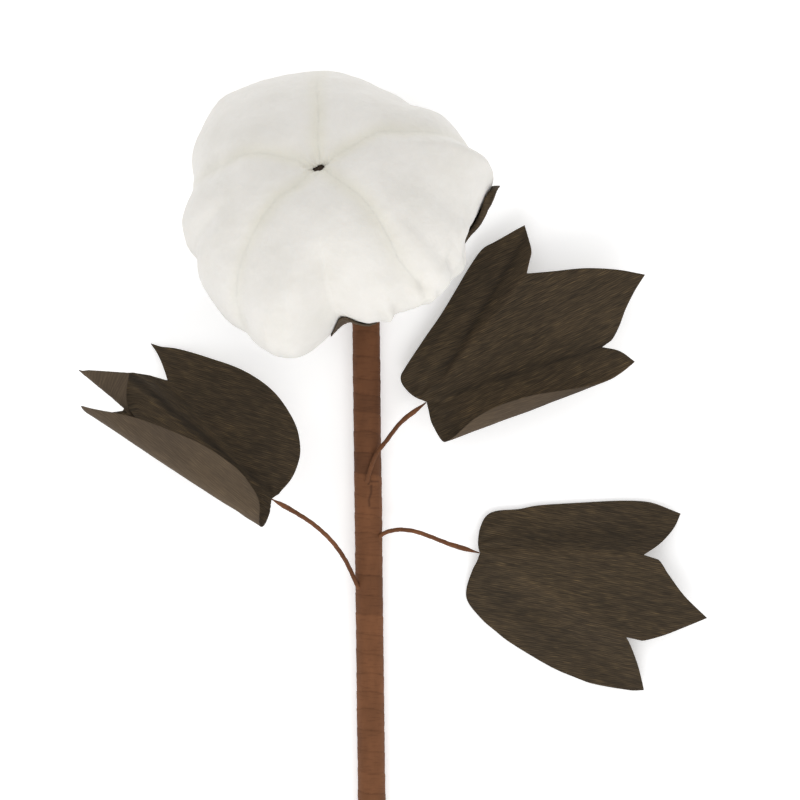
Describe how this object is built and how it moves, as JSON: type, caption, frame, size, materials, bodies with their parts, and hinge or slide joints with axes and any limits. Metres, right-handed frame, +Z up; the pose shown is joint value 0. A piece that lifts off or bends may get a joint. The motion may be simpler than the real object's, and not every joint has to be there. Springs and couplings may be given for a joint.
{
  "type": "artificial cotton stem",
  "caption": "Artificial cotton stem lying down: a padded five-lock cotton boll with paper bracts, a wrapped wire stem and folded crepe-paper leaves on wire stalks.",
  "frame": {"origin": "on the flattened spot under the boll that rests on the table", "axes": "+Y along the stem from its cut end to the boll, +Z up from the table, +X to the right seen from above with the boll at the top"},
  "size_m": [0.2651, 0.4523, 0.0974],
  "materials": {
    "cotton": "matt white cotton wadding, slightly fuzzy",
    "bract_paper": "dark brown crepe paper, matt",
    "husk": "brown paper-wound core, matt",
    "wire_core": "plain drawn wire",
    "stalk_paper": "brown paper tape wound in a helix, satin where waxed",
    "leaf_crepe": "dark brown crepe paper with fine ridges, smoother and paler underneath"
  },
  "bodies": {
    "root": {"cotton_lock_left": "cotton", "cotton_lock_top_left": "cotton", "cotton_lock_top_right": "cotton", "cotton_lock_right": "cotton", "cotton_lock_bottom": "cotton", "bract_left": "bract_paper", "bract_top_left": "bract_paper", "bract_top_right": "bract_paper", "bract_right": "bract_paper", "bract_bottom": "bract_paper", "receptacle": "husk", "calyx_cup": "bract_paper", "stem_core": "wire_core", "stem_wrap": "stalk_paper", "leaf_wire_left": "stalk_paper", "leaf_wire_upper_right": "stalk_paper", "leaf_wire_lower_right": "stalk_paper", "leaf_left": "leaf_crepe", "leaf_upper_right": "leaf_crepe", "leaf_lower_right": "leaf_crepe"}
  },
  "joints": []
}
